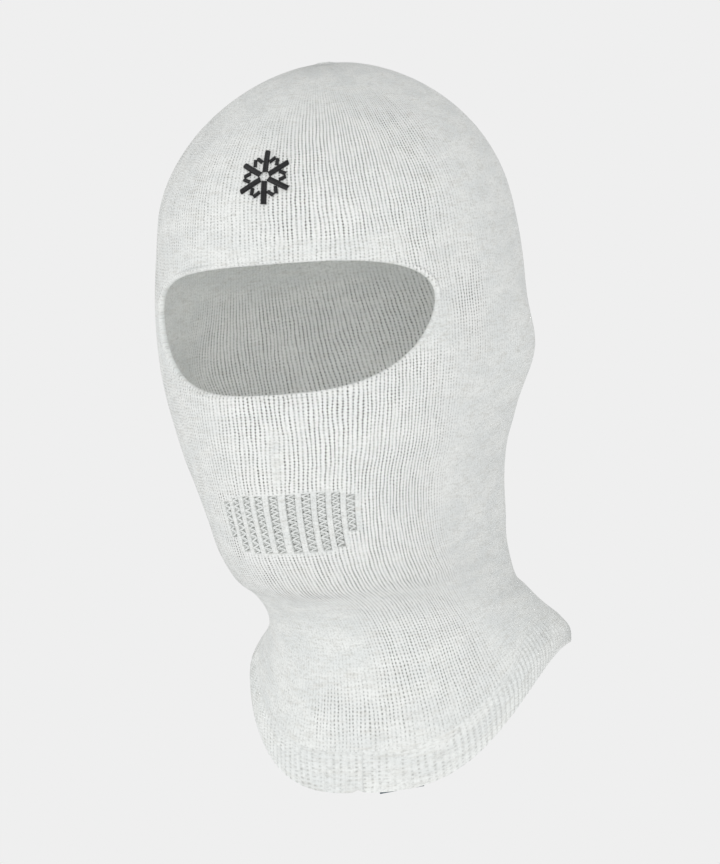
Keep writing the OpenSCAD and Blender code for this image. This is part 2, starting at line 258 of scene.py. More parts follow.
def ribRelief(rib, ribs):
    # only the front is fine enough to carry its ribs in the mesh; elsewhere the material draws them
    past = frontRibs - np.minimum(abs(rib), allRibs - abs(rib))
    fine = smoothStep(past, -knit["fineRibs"] + 1, -knit["fineRibs"] + 6)
    return (knit["smoothDepth"] + (knit["ribDepth"] - knit["smoothDepth"]) * ribs) * ribShape(rib) * fine


def wander(rib, course):
    # ribs drift a little from side to side, the same way for neighbours
    turn = rib * tau / allRibs
    return knit["wander"] * (np.sin(course / 17 + 5 * turn) + 0.6 * np.sin(course / 7.3 - 8 * turn + 2))


def drape(angle, height):
    # shallow hollows and folds of the loose neck and bib
    a = foldedAngle(angle)
    loose = smoothStep(-height, 100, 135)
    folds = 0.9 * np.sin(a / 9 + height / 30) * smoothStep(a, 5, 40) * smoothStep(-a, -100, -60)
    vee = -1.3 * (bell((a + 9 - (height + 190) * 0.22) / 2.2) + bell((a - 7 + (height + 190) * 0.18) / 2.2))
    vee = vee * smoothStep(-height, 158, 172) * smoothStep(height, -198, -186)
    turn = np.radians(a)
    chin = 2.6 * bell((height + 105) / 8.5) * smoothStep(-abs(a), -80, -45)
    soft = chin + 0.35 * np.sin(4 * turn + 1) * np.sin(height / 21) + 0.25 * np.sin(9 * turn + height / 15)
    return loose * (folds + vee) + soft * smoothStep(-height, -80, -40)


def layer(angle, t, out):
    return skin(angle, t) + np.asarray(out)[..., None] * outward(angle, t)


def makePiece(name, points, faces, smooth):
    mesh = bpy.data.meshes.new(name)
    mesh.from_pydata((points * mm).tolist(), [], faces.tolist() if hasattr(faces, "tolist") else faces)
    mesh.polygons.foreach_set("use_smooth", np.asarray(smooth, bool))
    piece = bpy.data.objects.new(name, mesh)
    bpy.context.scene.collection.objects.link(piece)
    return piece


def volumeOf(points, faces):
    a, b, c, d = (points[faces[:, k]] for k in range(4))
    return (np.einsum("ij,ij->i", a, np.cross(b, c)) + np.einsum("ij,ij->i", a, np.cross(c, d))).sum() / 6


def closedShell(name, outer, inner, stitch, ribs, keep=None, ring=False, lean=0):
    # outer and inner are grids of points; cells left out by keep are open
    count, columns = outer.shape[:2]
    width = columns - 1 if ring else columns
    i, j = np.meshgrid(np.arange(count - 1), np.arange(columns - 1), indexing="ij")
    cells = np.ones(i.shape, bool) if keep is None else keep
    padded = np.pad(cells, 1)
    if ring:
        padded[1:-1, 0], padded[1:-1, -1] = cells[:, -1], cells[:, 0]

    def quads(mask, *corners):
        a, b = i[mask], j[mask]
        return np.stack([np.stack([np.full(a.shape, side), a + di, b + dj], -1)
                         for side, di, dj in corners], 1)

    flat = [quads(cells & ~padded[:-2, 1:-1], (0, 0, 0), (0, 0, 1), (1, 0, 1), (1, 0, 0)),
            quads(cells & ~padded[2:, 1:-1], (0, 1, 1), (0, 1, 0), (1, 1, 0), (1, 1, 1)),
            quads(cells & ~padded[1:-1, :-2], (0, 1, 0), (0, 0, 0), (1, 0, 0), (1, 1, 0)),
            quads(cells & ~padded[1:-1, 2:], (0, 0, 1), (0, 1, 1), (1, 1, 1), (1, 0, 1))]
    broad = [quads(cells, (0, 0, 0), (0, 1, 0), (0, 1, 1), (0, 0, 1)),
             quads(cells, (1, 0, 0), (1, 0, 1), (1, 1, 1), (1, 1, 0))]
    corners = np.concatenate(broad + flat)
    smooth = np.arange(len(corners)) < 2 * cells.sum()
    points = np.concatenate([outer[:, :width].reshape(-1, 3), inner[:, :width].reshape(-1, 3)])
    faces = (corners[..., 0] * count + corners[..., 1]) * width + corners[..., 2] % width
    if volumeOf(points, faces) < 0:
        corners, faces = corners[:, ::-1], faces[:, ::-1]
    used = np.zeros(len(points), bool)
    used[faces] = True
    number = np.cumsum(used) - 1
    piece = makePiece(name, points[used], number[faces], smooth)
    mesh = piece.data
    places = mesh.uv_layers.new(name="stitch")
    both = np.stack([stitch, stitch])
    both[1, ..., 0] += lean
    places.data.foreach_set("uv", both[corners[..., 0], corners[..., 1], corners[..., 2]].ravel())
    depth = np.concatenate([r[:, :width].ravel() for r in ribs])[used]
    mesh.attributes.new("ribs", "FLOAT", "POINT").data.foreach_set("value", depth)
    # marks the inner face, which the knit's material darkens as painted shade
    inner = np.repeat([0.0, 1.0], len(used) // 2)[used]
    mesh.attributes.new("inner", "FLOAT", "POINT").data.foreach_set("value", inner)
    rib, course = (np.concatenate([stitch[:, :width, k].ravel()] * 2)[used] for k in (0, 1))
    turn, radius = rib * tau / allRibs, allRibs * knit["ribWidth"] / tau
    yarn = np.stack([radius * np.sin(turn), -radius * np.cos(turn), course * knit["course"]], -1)
    mesh.attributes.new("yarn", "FLOAT_VECTOR", "POINT").data.foreach_set("vector", yarn.ravel())
    return piece


def edgeAt(edge, angle):
    return edge(angle) if callable(edge) else np.full(angle.shape, float(edge))


def knitGrid(columns, bands):
    # bands are (start, end, count) down the fabric; an edge that follows the angle is found in steps
    lines = [(start, end, k / count) for n, (start, end, count) in enumerate(bands)
             for k in range(1 if n else 0, count + 1)]
    columns = np.broadcast_to(columns, (len(lines), len(columns)))
    angle = columns * 360 / allRibs
    for _ in range(7):
        t = np.stack([edgeAt(start, a) * (1 - share) + edgeAt(end, a) * share
                      for (start, end, share), a in zip(lines, angle)])
        angle = angleOf(columns, t)
    return angle, t


def knitPanel(name, columns, bands, ring=False, keep=None):
    angle, t = knitGrid(columns, bands)
    rib = np.broadcast_to(columns, t.shape)
    height = skin(angle, t)[..., 2]
    course = courseOf(t)
    ribsOut, ribsIn = ribsOutside(angle, height), ribsInside(angle, height)
    drift = rib + wander(rib, course) * 0.5
    fold = drape(angle, height)
    outer = layer(angle, t, fold + ribRelief(drift, ribsOut))
    inner = layer(angle, t, fold - form["fabric"] - ribRelief(drift, ribsIn))
    return closedShell(name, outer, inner, np.stack([drift, course], -1), [ribsOut, ribsIn], keep, ring,
                       insideLean(angle, course))


# Camera: where it stands round the eye line, and how far the head leans in its view
cameraSetup = {"azimuth": 19, "elevation": 4.7, "lean": 5.7, "distance": 1.8, "lens": 168,
               "right": 0.0075, "up": -0.0483}


def placeCamera(setup):
    az, el, lean = (math.radians(setup[k]) for k in ("azimuth", "elevation", "lean"))
    back = Vector((math.sin(az) * math.cos(el), -math.cos(az) * math.cos(el), math.sin(el)))
    right = Vector((math.cos(az), math.sin(az), 0))
    up = Vector((-math.sin(az) * math.sin(el), math.cos(az) * math.sin(el), math.cos(el)))
    right, up = (right * math.cos(lean) - up * math.sin(lean), right * math.sin(lean) + up * math.cos(lean))
    place, aim = back * setup["distance"], right * setup["right"] + up * setup["up"]
    z = (place - aim).normalized()
    x = up.cross(z).normalized()
    turn = Matrix((x, z.cross(x), z)).transposed()
    camera = bpy.data.objects.new("camera", bpy.data.cameras.new("camera"))
    camera.matrix_world = Matrix.Translation(place) @ turn.to_4x4()
    camera.data.lens, camera.data.clip_start, camera.data.clip_end = setup["lens"], 0.05, 60
    bpy.context.scene.collection.objects.link(camera)
    bpy.context.scene.camera = camera


placeCamera(cameraSetup)
print("camera placed")


class Wire:  # a socket that takes part in sums
    def __init__(self, finish, socket):
        self.finish, self.socket = finish, socket

    def work(self, operation, first, second=0.0):
        return self.finish.node("ShaderNodeMath", {"operation": operation}, {0: first, 1: second})

    def __add__(self, other):
        return self.work("ADD", self, other)

    def __radd__(self, other):
        return self.work("ADD", other, self)

    def __sub__(self, other):
        return self.work("SUBTRACT", self, other)

    def __rsub__(self, other):
        return self.work("SUBTRACT", other, self)

    def __mul__(self, other):
        return self.work("MULTIPLY", self, other)

    def __rmul__(self, other):
        return self.work("MULTIPLY", other, self)

    def cosine(self):
        return self.work("COSINE", self)

    def size(self):
        return self.work("ABSOLUTE", self)

    def fraction(self):
        return self.work("FRACT", self)


class Finish:  # one material, built node by node
    def __init__(self, name, fixed):
        self.material = bpy.data.materials.new(name)
        self.material.use_nodes = True
        self.tree = self.material.node_tree
        self.shader = self.tree.nodes["Principled BSDF"]
        for socket, value in fixed.items():
            self.shader.inputs[socket].default_value = value

    def node(self, kind, settings=None, sockets=None, output=0):
        made = self.tree.nodes.new(kind)
        for key, value in (settings or {}).items():
            setattr(made, key, value)
        for key, value in (sockets or {}).items():
            if isinstance(value, Wire):
                self.tree.links.new(value.socket, made.inputs[key])
            else:
                made.inputs[key].default_value = value
        return Wire(self, made.outputs[output])

    def step(self, value, low, high, start=0.0, end=1.0):
        return self.node("ShaderNodeMapRange", {"interpolation_type": "SMOOTHSTEP"},
                         {0: value, 1: low, 2: high, 3: start, 4: end})

    def blend(self, factor, first, second, kind="MIX"):
        return self.node("ShaderNodeMix", {"data_type": "RGBA", "blend_type": kind},
                         {0: factor, 6: first, 7: second}, 2)

    def noise(self, place, scale, detail=2.0, roughness=0.5):
        return self.node("ShaderNodeTexNoise", {},
                         {"Vector": place, "Scale": scale, "Detail": detail, "Roughness": roughness})

    def stretched(self, place, scale):
        return self.node("ShaderNodeVectorMath", {"operation": "MULTIPLY"}, {0: place, 1: scale})

    def attribute(self, name, output=2):
        return self.node("ShaderNodeAttribute", {"attribute_name": name}, {}, output)

    def uv(self, name):
        place = self.node("ShaderNodeUVMap", {"uv_map": name})
        return (self.node("ShaderNodeSeparateXYZ", {}, {0: place}, 0),
                self.node("ShaderNodeSeparateXYZ", {}, {0: place}, 1), place)

    def bump(self, height, distance, strength=1.0):
        return self.node("ShaderNodeBump", {}, {"Strength": strength, "Distance": distance, "Height": height})

    def set(self, **links):
        for key, value in links.items():
            self.tree.links.new(value.socket, self.shader.inputs[key.replace("_", " ")])
        return self.material


def colour(red, green, blue):
    # the shader wants linear light, the numbers are as they look on a screen
    parts = [c / 255 for c in (red, green, blue)]
    return tuple(c / 12.92 if c < 0.04045 else ((c + 0.055) / 1.055) ** 2.4 for c in parts) + (1.0,)


# Heathered wool blend: pale yarn, warm and cool flecks, painted shade in the furrows and dark painted shadow
# in the holes between the ribs, a painted highlight on the rib crests, and painted shade on the inner face
wool = {
    "light": colour(245, 247, 245), "cool": colour(236, 239, 238), "warm": colour(215, 214, 208),
    # gap and furrow are painted shade in the rib valleys, crest a painted highlight on the rib tops, inside a
    # painted shade for the inner face; shade is the colour of the dark flecks
    "shade": colour(194, 196, 193), "gap": colour(40, 38, 30), "furrow": colour(190, 189, 182),
    "crestHighlight": colour(254, 254, 253), "inside": (0.89, 0.886, 0.883, 1.0),
    "sheen": 0.12, "bump": 0.35 * mm,
}


def melangeKnit():
    make = Finish("melangeKnit", {"Sheen Weight": wool["sheen"], "Sheen Roughness": 0.45,
                                  "Specular IOR Level": 0.15})
    rib, course, _ = make.uv("stitch")
    depth = make.attribute("ribs")
    yarn = make.attribute("yarn", 1)
    wobble = make.noise(make.stretched(yarn, (0.16, 0.16, 0.10)), 1.0, 2.0)
    furrow = 0.5 - 0.5 * ((rib + wobble * 0.9) * tau).cosine()
    unevenRow = make.noise(make.stretched(yarn, (0.30, 0.30, 0.16)), 1.0, 2.0)
    hole = make.step(0.5 + 0.5 * ((course + unevenRow * 1.8) * tau).cosine(), 0.45, 0.85)
    patchy = make.step(make.noise(make.stretched(yarn, (0.70, 0.70, 0.09)), 1.0, 3.0, 0.6), 0.34, 0.62)
    groove = make.step(furrow, 0.60, 0.98)
    # short streaks of dyed fibre along the rows, and larger faint clouds
    streak = make.step(make.noise(make.stretched(yarn, (0.14, 0.14, 0.75)), 1.0, 4.0, 0.66), 0.46, 0.72)
    cloud = make.noise(make.stretched(yarn, (0.04, 0.04, 0.12)), 1.0, 3.0, 0.6)
    fleck = make.noise(make.stretched(yarn, (0.75, 0.75, 1.1)), 1.0, 3.0, 0.75)
    tone = make.blend(make.step(cloud, 0.36, 0.64), wool["light"], wool["cool"])
    tone = make.blend(streak * 0.55, tone, wool["warm"])
    tone = make.blend(make.step(fleck, 0.46, 0.70) * 0.55, tone, wool["shade"])
    # painted highlight: the rib crests are lightened where the ribs are stretched open
    tone = make.blend(depth * make.step(furrow, 0.75, 0.25) * 0.6, tone, wool["crestHighlight"])
    # painted shade: the furrows between the ribs are darkened, in patches
    tone = make.blend((0.10 + depth * 0.35) * groove * (0.10 + 0.40 * patchy), tone, wool["furrow"])
    # painted shadow: dark dots in the furrows where the holes between the loops are
    tone = make.blend((0.05 + depth) * groove * hole * (0.20 + 0.80 * patchy), tone, wool["gap"])
    # painted shade: the inner face of the fabric is darkened
    tone = make.blend(make.attribute("inner"), tone, wool["inside"], "MULTIPLY")
    # each stitch is a small V: its legs rise towards the rib's middle
    leg = ((rib + 0.5).fraction() - 0.5).size()
    stitch = 0.5 + 0.5 * ((course + leg * 0.9) * tau).cosine()
    fibre = make.noise(make.stretched(yarn, (1.6, 1.6, 2.0)), 1.0, 4.0, 0.7)
    height = stitch * 0.35 + fibre * 0.9 - (0.08 + depth * 0.2) * furrow - depth * groove * hole * 0.7
    return make.set(Base_Color=tone, Roughness=make.step(fibre, 0.3, 0.7, 0.86, 0.98),
                    Normal=make.bump(height, wool["bump"], 0.9))


def threadFinish(name, dark, pale, roughness, sheen=0.2, twist=0.9, coat=0.0):
    make = Finish(name, {"Sheen Weight": sheen, "Sheen Roughness": 0.4, "Coat Roughness": 0.4,
                         "Coat Weight": coat})
    round_, along, place = make.uv("stitch")
    ply = 0.5 + 0.5 * ((round_ + along * twist) * (2 * tau)).cosine()
    fibre = make.noise(make.stretched(place, (9.0, 3.0, 1.0)), 1.0, 3.0, 0.6)
    tone = make.blend(make.step(ply * 0.6 + fibre * 0.5, 0.25, 0.85), dark, pale)
    return make.set(Base_Color=tone, Roughness=make.step(fibre, 0.3, 0.7, roughness - 0.08, roughness + 0.06),
                    Normal=make.bump(ply + fibre * 0.5, 0.06 * mm, 0.6))


def feltFinish(name, dark, pale):
    make = Finish(name, {"Sheen Weight": 0.2})
    place = make.attribute("yarn", 1)
    fibre = make.noise(make.stretched(place, (1.6, 1.6, 1.6)), 1.0, 5.0, 0.7)
    clump = make.noise(make.stretched(place, (0.35, 0.35, 0.35)), 1.0, 2.0)
    tone = make.blend(make.step(fibre * 0.7 + clump * 0.3, 0.35, 0.65), dark, pale)
    return make.set(Base_Color=tone, Roughness=make.step(fibre, 0.3, 0.7, 0.85, 0.97),
                    Normal=make.bump(fibre, 0.15 * mm, 0.7))


def ribbonFinish(name, dark, pale):
    make = Finish(name, {"Sheen Weight": 0.3, "Specular IOR Level": 0.4})
    across, along, place = make.uv("stitch")
    warp = 0.5 + 0.5 * (across * (tau / 0.45)).cosine()
    weft = 0.5 + 0.5 * (along * (tau / 0.45)).cosine()
    edge = make.step((across - 10).size(), 8.6, 9.3)
    fibre = make.noise(make.stretched(place, (6.0, 1.2, 1.0)), 1.0, 3.0, 0.6)
    tone = make.blend(make.step(warp * 0.3 + weft * 0.3 + fibre * 0.5, 0.25, 0.8), dark, pale)
    tone = make.blend(edge * 0.5, tone, dark)
    return make.set(Base_Color=tone, Roughness=make.step(fibre, 0.3, 0.7, 0.5, 0.7),
                    Normal=make.bump(warp * weft + fibre * 0.3, 0.08 * mm, 0.7))


finishes = {
    "melange_knit": melangeKnit(),
    "elastic_yarn": threadFinish("elasticYarn", colour(186, 186, 180), colour(228, 228, 224), 0.75),
    "black_thread": threadFinish("blackThread", colour(5, 5, 7), colour(22, 23, 27), 0.42, 0.04, 0.5, 0.08),
    "backing_felt": feltFinish("backingFelt", colour(214, 214, 212), colour(240, 240, 238)),
    "white_thread": threadFinish("whiteThread", colour(206, 206, 202), colour(238, 238, 236), 0.6),
    "label_ribbon": ribbonFinish("labelRibbon", colour(42, 62, 72), colour(84, 106, 116)),
}
print("materials ready")


def finishPiece(piece, slot, body, *nodes):
    piece.data.materials.append(finishes[slot])
    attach(piece, body)
    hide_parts(*nodes)
    return piece


# The fabric zones, each with the flat size it was knitted to, in metres
frontColumns = np.linspace(-frontRibs, frontRibs, 2 * frontRibs * 4 + 1)
fineColumns = frontRibs + np.arange(knit["fineRibs"] * 4) / 4
coarseStart, coarseRibs = frontRibs + knit["fineRibs"], knit["backRibs"] - knit["fineRibs"]
coarseColumns = np.linspace(coarseStart, allRibs - coarseStart, 4 * coarseRibs + 1)
backColumns = np.concatenate([fineColumns, coarseColumns, allRibs - fineColumns[::-1]])
half = frontRibs * 4
ringColumns = np.concatenate([frontColumns[half:], backColumns[1:], allRibs + frontColumns[1:half + 1]])


eye = {"halfAngle": 53, "cornerHeight": 14, "rise": 21.5, "fall": 33.5, "weltWidth": 6, "roll": 0.6,
       "turned": 1.4}


def ovalTop(u, grow):
    return eye["cornerHeight"] + (eye["rise"] + grow) * np.clip(1 - abs(u) ** 2.5, 0, 1) ** (1 / 2.4)


def ovalLow(u, grow):
    return eye["cornerHeight"] - (eye["fall"] + grow) * np.clip(1 - abs(u) ** 3, 0, 1) ** (1 / 1.6)


def halfAngle(grow):
    return eye["halfAngle"] + (form["frontAngle"] - eye["halfAngle"]) * grow / eye["weltWidth"]


def topEdge(angle):
    return rowOf(ovalTop(angle / halfAngle(eye["turned"]), eye["turned"]))


def lowEdge(angle):
    return rowOf(ovalLow(angle / halfAngle(eye["turned"]), eye["turned"]))


def hemLine(angle):
    step = (form["hemDrop"] + form["throat"]) / 5
    return lastRow - form["hemHeight"] / (step - form["hemLift"] * liftShare(angle) / 5)


crownRow, chinRow, throatRow = (float(rowOf(form[k])) for k in ("crownLine", "chinLine", "throat"))
bibRow = lastRow - 3
vent = {"halfAngle": 27.5, "drop": 75, "height": 29, "gaps": 10, "open": 0.6, "tuck": 0.9, "yarn": 0.82,
        "zigs": 19, "blend": 0.05}
ventTop = float(rowOf(-vent["drop"] + vent["height"] / 2))
ventLow = float(rowOf(-vent["drop"] - vent["height"] / 2))

eyeRows, jawRows, windowRows, lipRows, chinRows = 38, 32, 16, 3, 16
cornerRow = float(rowOf(eye["cornerHeight"]))
zones = {
    "crownCap": {"node": "crown_cap", "columns": ringColumns, "ring": True,
                 "bands": [(form["closureRow"], crownRow, 44)], "flat": (0.46, 0.05), "area": 0.0165},
    "foreheadPanel": {"node": "forehead_panel", "columns": frontColumns,
                      "bands": [(crownRow, topEdge, eyeRows)], "flat": (0.16, 0.075), "area": 0.0095},
    "headBackPanel": {"node": "head_back_panel", "columns": backColumns,
                      "bands": [(crownRow, cornerRow, eyeRows), (cornerRow, ventTop, jawRows),
                                (ventTop, ventLow, windowRows), (ventLow, chinRow, lipRows),
                                (chinRow, throatRow, chinRows)], "flat": (0.38, 0.22), "area": 0.076},
    "facePanel": {"node": "face_panel", "columns": frontColumns,
                  "bands": [(lowEdge, ventTop, jawRows), (ventTop, ventLow, windowRows),
                            (ventLow, chinRow, lipRows)], "flat": (0.16, 0.10), "area": 0.011},
    "chinGusset": {"node": "chin_gusset", "columns": frontColumns,
                   "bands": [(chinRow, throatRow, chinRows)], "flat": (0.14, 0.055), "area": 0.0068},
    "neckTube": {"node": "neck_tube", "columns": ringColumns, "ring": True,
                 "bands": [(throatRow, bibRow, 18)], "flat": (0.40, 0.027), "area": None},
    "bibSkirt": {"node": "bib_skirt", "columns": ringColumns, "ring": True,
                 "bands": [(bibRow, hemLine, 18)], "flat": (0.42, 0.030), "area": 0.0070},
}
inWindow = (abs((frontColumns[1:] + frontColumns[:-1]) / 2) < knit["ventRibs"])[None, :]
windowBand = np.repeat([False, True, False], [jawRows, windowRows, lipRows])[:, None]
for name, zone in zones.items():
    keep = ~(inWindow & windowBand) if name == "facePanel" else None
    piece = knitPanel(name, zone["columns"], zone["bands"], zone.get("ring", False), keep)
    finishPiece(piece, "melange_knit", "knit", zone["node"])
    print(name, "knitted,", len(piece.data.polygons), "faces")


# Vent: flat pillars with open ladders between them, rounded off at both ends
def ventPanel():
    pitch = 2 * vent["halfAngle"] / (vent["gaps"] + 1 - vent["open"])
    pillar, fine, count = pitch * (1 - vent["open"]), 6, 34
    gapWidth = pitch - pillar
    kinds, angles = [-1], [-vent["halfAngle"] - vent["tuck"]]
    for k in range(2 * vent["gaps"] + 1):
        start = -vent["halfAngle"] + k // 2 * pitch + k % 2 * pillar
        size = gapWidth if k % 2 else pillar
        angles += [start + size * n / fine for n in range(fine)]
        kinds += [k] * fine
    angles, kinds = np.array(angles + [vent["halfAngle"], -angles[0]]), np.array(kinds + [-1])
    share = np.concatenate([[-0.035], np.linspace(0, 1, count + 1), [1.035]])
    t = np.broadcast_to((ventTop + (ventLow - ventTop) * share)[:, None], (len(share), len(angles)))
    angle = np.broadcast_to(angles, t.shape)
    ends = [min(gap, vent["gaps"] - 1 - gap) for gap in range(vent["gaps"])]
    opens = [{0: (0.16, 0.70), 1: (0.08, 0.90)}.get(end, (0.05, 0.95)) for end in ends]
    # each column is plain beside the ladders it borders on, and ribbed above and below them
    edged, lastGap = np.append(kinds, -1), vent["gaps"] - 1
    beside = [(opens[min(max(k - 1, 0) // 2, lastGap)], opens[min(k // 2, lastGap)]) for k in edged]
    top = np.array([min(left[0], right[0]) for left, right in beside])
    foot = np.array([max(left[1], right[1]) for left, right in beside])
    down = share[:, None]
    within = smoothStep(down, top - vent["blend"], top) * smoothStep(-down, -foot - vent["blend"], -foot)
    within = within * (edged >= 0)
    middle = (share[1:] + share[:-1]) / 2
    keep = np.array([[not (k > 0 and k % 2 and opens[k // 2][0] < m < opens[k // 2][1]) for k in kinds]
                     for m in middle])
    across = np.mod(angles + vent["halfAngle"], pitch) / pillar
    raised = np.where(across < 1, np.sin(np.pi * np.clip(across, 0, 1)), 0)
    inside = (abs(angle) < vent["halfAngle"] + 0.1) & (share > -0.01)[:, None] & (share < 1.01)[:, None]
    rib, course = ribOf(angle, t), courseOf(t)
    drift = rib + wander(rib, course) * 0.5
    lift = within * (0.34 * raised - 0.10)
    fold = drape(angle, skin(angle, t)[..., 2]) + np.where(inside, 0, -0.45)
    ribsOut = 0.85 * (1 - within) + 0.05
    outer = layer(angle, t, fold + lift + ribRelief(drift, ribsOut) * (1 - within))
    inner = layer(angle, t, fold - form["fabric"] * 0.8 - 0.2 * raised)
    piece = closedShell("mouthVent", outer, inner, np.stack([drift, course], -1), [ribsOut, ribsOut], keep)
    paths = []
    for gap, (low, high) in enumerate(opens):
        start = -vent["halfAngle"] + gap * pitch + pillar
        zigs = max(int(round(vent["zigs"] * (high - low) / 0.9)), 5)
        for flip in (0, 1):
            k = np.arange(zigs * 4 + 1)
            wave = abs((k / 4 + flip) % 2 - 1)
            a = start + gapWidth * (0.02 + 0.96 * wave + 0.05 * np.sin(k * 0.9 + gap * 2.1 + flip))
            row = ventTop + (ventLow - ventTop) * (low + (high - low) * k / (zigs * 4))
            paths.append((a, row, -0.7 - 0.9 * flip + 0.25 * np.cos(k * tau / 4)))
    return piece, paths


def yarnTubes(name, paths, radius, sides=8, twist=1.1, lobes=0.18, closed=False, onFabric=True):
    # paths are (angle, row, height over the fabric), or ready points with their upward directions
    points, faces, uvs = [], [], []
    base = 0
    for path in paths:
        if onFabric:
            angle, t, out = path
            line, up = layer(angle, t, out), outward(angle, t)
        else:
            line, up = path
        if closed:
            along = np.roll(line, -1, axis=0) - np.roll(line, 1, axis=0)
        else:
            along = np.gradient(line, axis=0)
        along = unit(along)
        side = unit(np.cross(up, along))
        up = np.cross(along, side)
        run = np.concatenate([[0], np.cumsum(np.linalg.norm(np.diff(line, axis=0), axis=1))])
        turn = np.arange(sides) * tau / sides
        lobe = 1 + lobes * np.cos(2 * (turn[None, :] - twist * run[:, None] * tau / 2))
        taper = np.ones(len(line))
        if not closed:
            taper[[0, -1]] = 0.55
        size = radius * lobe * taper[:, None]
        ring = (line[:, None] + size[..., None] * (np.cos(turn)[None, :, None] * up[:, None]
                                                   + np.sin(turn)[None, :, None] * side[:, None]))
        count = len(line)
        points.append(ring.reshape(-1, 3))
        for k in range(count if closed else count - 1):
            for n in range(sides):
                a, b = base + k * sides + n, base + k * sides + (n + 1) % sides
                nextRow = base + ((k + 1) % count) * sides
                faces.append([a, b, nextRow + (n + 1) % sides, nextRow + n])
                low, high = run[k], run[k + 1] if k + 1 < count else run[k] + run[1]
                uvs += [(n / sides, low), ((n + 1) / sides, low), ((n + 1) / sides, high), (n / sides, high)]
        if not closed:
            faces.append([base + n for n in range(sides)][::-1])
            faces.append([base + (count - 1) * sides + n for n in range(sides)])
            uvs += [(0, 0)] * (2 * sides)
        base += count * sides
    points = np.concatenate(points)
    piece = makePiece(name, points, faces, [True] * len(faces))
    layerUv = piece.data.uv_layers.new(name="stitch")
    layerUv.data.foreach_set("uv", np.array(uvs, float).ravel())
    return piece


ventPiece, lacingPaths = ventPanel()
finishPiece(ventPiece, "melange_knit", "knit", "mouth_vent")
lacing = yarnTubes("ventLacing", lacingPaths, vent["yarn"] / 2, 6)
finishPiece(lacing, "melange_knit", "knit", "vent_lacing")
print("vent knitted")


# Hem: deep ribs, with a small notch at the front where the last row is fastened off
hem = {"notchAngle": -2.0, "notchWidth": 1.7, "notchDepth": 0.13, "flat": (0.50, 0.018)}


def hemRib():
    def lower(angle):
        notch = hem["notchDepth"] * bell((foldedAngle(angle) - hem["notchAngle"]) / hem["notchWidth"])
        return lastRow - notch
    angle, t = knitGrid(ringColumns, [(hemLine, lower, 20)])
    rib = np.broadcast_to(ringColumns, t.shape)
    hemPlace = rib * knit["hemRibs"] / allRibs
    course, height = courseOf(t), skin(angle, t)[..., 2]
    down = np.linspace(0, 1, 21)[:, None]
    ease = smoothStep(down, 0, 0.25) * (1 - 0.6 * smoothStep(down, 0.9, 1.0))
    fold = drape(angle, height) * (1 - smoothStep(down, 0, 0.5))
    hemPlace = hemPlace + 0.06 * np.sin(course / 3 + 7 * rib * tau / allRibs)
    above = ribRelief(rib + wander(rib, course) * 0.5, ribsOutside(angle, height))
    relief = above * (1 - ease) + knit["hemRibDepth"] * ribShape(hemPlace) * ease
    outer = layer(angle, t, fold + relief)
    inner = layer(angle, t, fold - form["fabric"] - 0.3 * relief)
    ribs = 0.12 + 0.08 * ease + 0 * t
    return closedShell("hemRib", outer, inner, np.stack([hemPlace, course], -1), [ribs, ribs], ring=True)


hemPiece = finishPiece(hemRib(), "melange_knit", "knit", "hem_rib")
print("hem knitted")


# Welt: the fabric turned over round the eyes
def oval(turn, grow):
    u = np.sin(turn)
    return halfAngle(grow) * u, rowOf(np.where(np.cos(turn) > 0, ovalTop(u, grow), ovalLow(u, grow)))


def weltTurns(count):
    turn = np.arange(count + 1) * tau / count
    return turn + math.radians(6) * np.sin(2 * turn)


def eyeWelt():
    # a thin turned strip: tucked under the panel's edge, over the fold, and flat against the inside
    turns, turned = weltTurns(640), eye["turned"]
    curl = np.radians(np.linspace(0, 180, 15))
    deep, thin = form["fabric"] / 2 + 0.3, 0.6
    grow = np.concatenate([[turned + 1, turned + 0.05], turned * (1 - np.sin(curl)),
                           np.linspace(turned + 0.8, eye["weltWidth"], 6)])
    top = np.concatenate([[-0.45, -0.06], deep * (np.cos(curl) - 1), np.full(6, -2 * deep)])
    coreGrow = np.concatenate([grow[:2], turned - (turned - thin) * np.sin(curl), grow[-6:]])
    core = np.concatenate([top[:2] - thin, -deep + (deep - thin) * np.cos(curl), top[-6:] + thin - 0.05])
    places = [np.stack([np.stack(oval(turns, g)) for g in grows], 1) for grows in (grow, coreGrow)]
    (angle, t), (coreAngle, coreT) = places
    rib, course = ribOf(angle, t), courseOf(t)
    drift = rib + wander(rib, course) * 0.5
    ribs = ribsOutside(angle, skin(angle, t)[..., 2])
    fade = np.concatenate([[1, 1], np.clip(np.cos(curl), 0, 1), np.zeros(6)])[:, None]
    outer = layer(angle, t, top[:, None] + ribRelief(drift, ribs) * fade)
    inner = layer(coreAngle, coreT, core[:, None] + 0 * t)
    ribs = ribs * fade
    return closedShell("eyeWelt", outer, inner, np.stack([drift, course], -1), [ribs, ribs], ring=True)


weltPiece = finishPiece(eyeWelt(), "melange_knit", "knit", "eye_welt")
elasticTurns = weltTurns(300)[:-1]
elasticAngle, elasticRow = oval(elasticTurns, 0.7 * eye["weltWidth"])
elastic = yarnTubes("eyeElastic", [(elasticAngle, elasticRow, np.full(300, -form["fabric"] - 0.98))],
                    0.36, 8, 0.5, 0.16, closed=True)
finishPiece(elastic, "elastic_yarn", "knit", "eye_elastic")
print("welt and elastic made")


